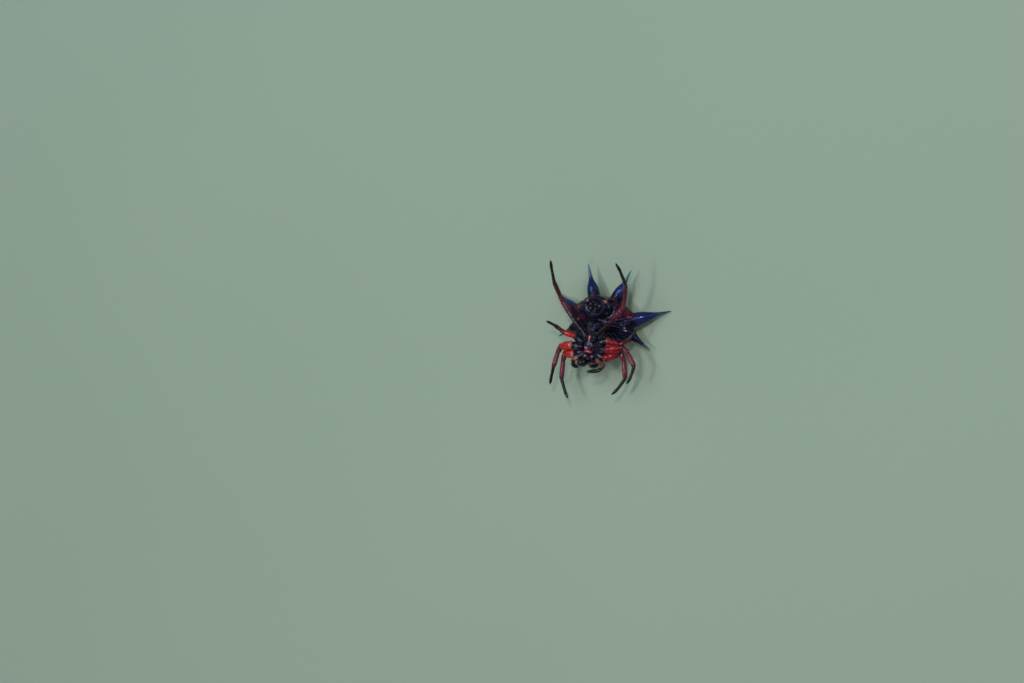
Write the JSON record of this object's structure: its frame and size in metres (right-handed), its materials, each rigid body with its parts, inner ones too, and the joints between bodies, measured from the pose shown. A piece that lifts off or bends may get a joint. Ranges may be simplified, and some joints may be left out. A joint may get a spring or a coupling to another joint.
{
  "type": "spiny orb weaver spider",
  "caption": "Life-size still model of a spiny orb weaver spider, belly up, with a hard spiny abdomen, red legs and folded palps.",
  "frame": {"origin": "on the midline, on the flat of the hard back that the spider lies on", "axes": "+Z towards the underside, which faces up as the spider lies; -Y towards the head; +X towards the spider's right"},
  "size_m": [0.0167, 0.0178, 0.0084],
  "materials": {
    "plate_and_spines": "glossy blue-black hard shell with orange spots, and a yellow and white hard back with black pits",
    "black_shell": "glossy black shell with a violet sheen",
    "scarlet_leg": "glossy scarlet to crimson skin with black feet",
    "crimson_leg": "glossy dark crimson skin with black feet",
    "palp_skin": "orange-brown skin with black ends"
  },
  "bodies": {
    "root": {"abdomen": "plate_and_spines", "spinnerets": "black_shell", "cephalothorax": "black_shell", "chelicera_left": "black_shell", "palp_left": "palp_skin", "leg_1_left": "scarlet_leg", "leg_2_left": "scarlet_leg", "leg_3_left": "scarlet_leg", "leg_4_left": "crimson_leg", "chelicera_right": "black_shell", "palp_right": "palp_skin", "leg_1_right": "scarlet_leg", "leg_2_right": "scarlet_leg", "leg_3_right": "scarlet_leg", "leg_4_right": "crimson_leg"}
  },
  "joints": []
}
